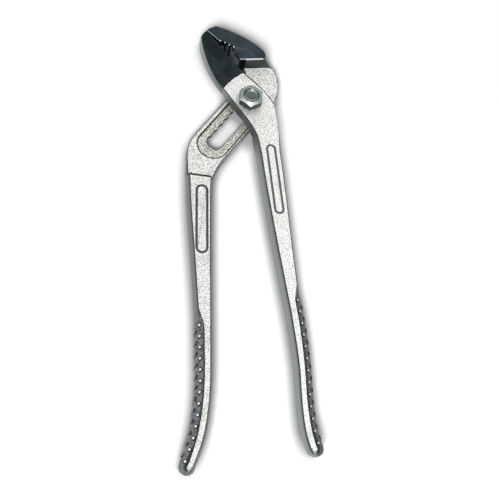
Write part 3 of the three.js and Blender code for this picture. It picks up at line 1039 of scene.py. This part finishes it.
@dataclass(frozen=True)
class Studio:
    """White paper floor, soft white surround, a soft sun and a small lamp. Sizes are in metres.

    The paper's fibres are drawn as coarse as two thirds of a millimetre, because real ones don't show.
    """

    floor_size: float = 3.0
    floor_drop: float = 0.0002
    floor_lift: float = 0.05
    floor_roughness: float = 0.9
    white: str = "#ffffff"
    fibre: str = "#fdfdfd"
    fibre_mm: float = 2 / 3
    fibre_span: Span = (0.3, 0.7)
    shade: str = "#969696"
    shade_reach: float = 0.0076
    shade_span: Span = (0.42, 0.94)
    shade_samples: int = 8
    surround: float = 0.1
    sun: SoftSun = SoftSun()
    lamp: Lamp = Lamp()

    def build(self) -> None:
        """Makes the floor, the surround and the lights."""
        self._floor()
        self._surround()
        self.sun.build()
        self.lamp.build()

    def _floor(self) -> None:
        """Makes the floor that keeps the tool's soft shadow."""
        mesh = bpy.data.meshes.new("floor")
        half = self.floor_size / 2
        corners = [(-half, -half), (half, -half), (half, half), (-half, half)]
        mesh.from_pydata([(x, y, -self.floor_drop) for x, y in corners], [], [(0, 1, 2, 3)])
        floor = bpy.data.objects.new("floor", mesh)
        bpy.context.scene.collection.objects.link(floor)
        mesh.materials.append(self._paper())

    def _paper(self) -> bpy.types.Material:
        """Builds the floor's white paper, which is shaded close to the tool.

        Returns:
            The material.
        """
        material, tree = blank_material("white_paper")
        coords = add_node(tree, "ShaderNodeTexCoord").outputs
        spots = {"Vector": coords["Object"], "Scale": 1 / (self.fibre_mm * MM)}
        fibres = add_node(tree, "ShaderNodeTexNoise", spots).outputs["Fac"]
        paper = blend(tree, ramp(tree, fibres, *self.fibre_span), self.fibre, self.white)
        reach = {"Distance": self.shade_reach}
        near = add_node(tree, "ShaderNodeAmbientOcclusion", reach, samples=self.shade_samples).outputs["AO"]
        lift = {0: seen_directly(tree), 1: self.floor_lift}
        end_material(tree, {
            "Base Color": blend(tree, ramp(tree, near, *self.shade_span), self.shade, paper),
            "Roughness": self.floor_roughness,
            "Specular IOR Level": 0.0,
            "Emission Color": linear(self.white),
            "Emission Strength": add_node(tree, "ShaderNodeMath", lift, operation="MULTIPLY").outputs[0],
        })
        return material

    def _surround(self) -> None:
        """Makes the white surround."""
        world = bpy.data.worlds.new("studio")
        bpy.context.scene.world = world
        world.use_nodes = True
        tree = world.node_tree
        tree.nodes.clear()
        white = linear(self.white)
        light = add_node(tree, "ShaderNodeBackground", {"Color": white, "Strength": self.surround})
        seen = add_node(tree, "ShaderNodeBackground", {"Color": white, "Strength": 1.0})
        mixed = add_node(tree, "ShaderNodeMixShader", {
            0: seen_directly(tree), 1: light.outputs[0], 2: seen.outputs[0],
        })
        add_node(tree, "ShaderNodeOutputWorld", {"Surface": mixed.outputs[0]})


# Levels of the levers' surfaces, in millimetres above the plane that the tool lies on
TOP_GROOVE: Span = (10.5, 13.0)
TOP_JAW: Span = (11.0, 13.0)
TOP_EDGE: Span = (11.2, 13.0)
TOP_FACE: Span = (11.5, 13.0)
PLATE_FACE: Span = (5.2, 6.2)
PLATE_EDGE: Span = (5.5, 6.2)
TRACK_EDGE: Span = (5.2, 6.0)
UNDER_TRACK: Span = (-1.0, 5.1)

UPPER_TOOTH_TIPS = ((-14.6, 37.4), (-12.2, 36.3), (-9.8, 35.1), (-7.4, 33.9))
LOWER_JAW_BACK = ((-3.0, 18.2), (2.9, 12.2), (8.5, 6.5), (13.2, -0.4))
SLOTTED = Lever(
    node="slotted_lever",
    side=Side.LEFT,
    spine=(
        (-29.9, -119.9), (-30.0, -140.2), (-30.3, -160.9), (-32.0, -177.5), (-34.5, -189.1), (-39.2, -201.5),
    ),
    grip_top=-126.0,
    track_floor=5.3,
    jaw=JawZone(centre=(89.6, -1029.5), radius=1057.2, level=15.0),
    jaw_dark="#313a3d",
    jaw_light="#3d484e",
    jaw_side_reflection="#3d484e",
    tooth="#e6ecee",
    wall_shade="#767b7d",
    grip="#818388",
    rim="#fafaf7",
    pit_span=(0.36, 0.56),
    slots=(Racetrack((0.0, 0.0), (-18.76, -23.41), 0.0, 12.0, UNDER_TRACK),),
    ledges=(Racetrack((-34.85, -37.4), (-34.95, -45.6), 0.0, 0.9, PLATE_FACE),),
    bite=Racetrack((-16.0, 37.0), (-4.5, 29.5), 0.0, 6.0, (1.0, 11.6)),
    facet_highlights=(Racetrack((-4.0, 24.0), (-4.0, 24.0), 9.2, 0.5, TOP_FACE),),
    shoulder_lights=(Racetrack((-5.0, 25.2), (11.0, 26.4), 0.0, 5.0, (6.3, 10.9)),),
    panel=Racetrack((-28.0, -55.6), (-29.1, -88.4), 2.75, 1.1, TOP_GROOVE),
    panel_shade="#5a5f5f",
    lines=(
        Racetrack((-0.32, 0.25), (-20.19, -24.57), 8.555, 0.7, TRACK_EDGE),
        Racetrack((-35.0, -45.9), (-21.5, -47.5), 0.0, 1.4, TOP_GROOVE),
        Racetrack((-34.3, -38.0), (-34.35, -45.2), 0.0, 0.5, PLATE_FACE),
    ),
    # Painted highlights along the jaw's edges, on the tooth tips and on the plate's top edge
    glint_lines=(
        Racetrack((-21.5, 43.9), (-15.2, 37.6), 0.0, 0.24, TOP_FACE),
        Racetrack((-6.4, 25.9), (8.8, 27.3), 0.0, 0.4, TOP_EDGE),
        *(Racetrack(tip, tip, 0.0, 0.9, TOP_EDGE) for tip in UPPER_TOOTH_TIPS),
        Racetrack((-1.0, 23.5), (13.4, 24.7), 0.0, 0.9, PLATE_EDGE),
    ),
    nubs=NubRows(top=-130.4, bottom=-200.2, angles=(52.0, 24.0, -22.0, -47.0)),
    nub_finish=NubsWithPaintedLight("nubs_painted_bright", crown="#f0f2f2"),
)
FRONT = Lever(
    node="front_lever",
    side=Side.RIGHT,
    spine=((16.0, -106.0), (18.6, -127.9), (20.1, -150.1), (20.3, -172.1), (21.3, -184.9), (23.0, -192.8)),
    grip_top=-112.0,
    joint_wall_shade=(-10.0, 3.0),
    joint_pits=0.02,
    jaw=JawZone(centre=(18.6, -16.95), radius=40.4, level=3.0),
    jaw_dark="#22292b",
    jaw_light="#323b3e",
    jaw_side_reflection="#5a6062",
    tooth="#323b3e",
    wall_shade="#969b9d",
    grip="#67696d",
    rim="#8b9092",
    pit_span=(0.32, 0.52),
    bite=Racetrack((-21.9, 44.0), (-3.1, 18.2), 0.0, 3.0, (0.0, 13.0)),
    panel=Racetrack((9.95, -29.5), (12.35, -65.5), 2.15, 1.1, TOP_GROOVE),
    panel_shade="#737878",
    lines=tuple(
        Racetrack(start, end, 0.0, 1.1, TOP_JAW) for start, end in zip(LOWER_JAW_BACK, LOWER_JAW_BACK[1:])
    ),
    nubs=NubRows(top=-116.5, bottom=-191.0, angles=(57.0, 27.0, -22.0, -47.0)),
    nub_finish=NubsWithPaintedLight("nubs_painted_dim", crown="#c2c8c8"),
)


def main() -> None:
    """Builds the view, the studio, both levers and the fastening."""
    logging.basicConfig(level=logging.INFO, format="%(name)s %(message)s")
    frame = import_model()
    Shot().build()
    bpy.context.scene.view_settings.view_transform = "Standard"
    Studio().build()
    tree = nub_tree()
    for lever in (SLOTTED, FRONT):
        lever.assemble(frame["nodes"], tree)
    Fastening().dress(frame["nodes"])


if __name__ == "__main__":
    main()
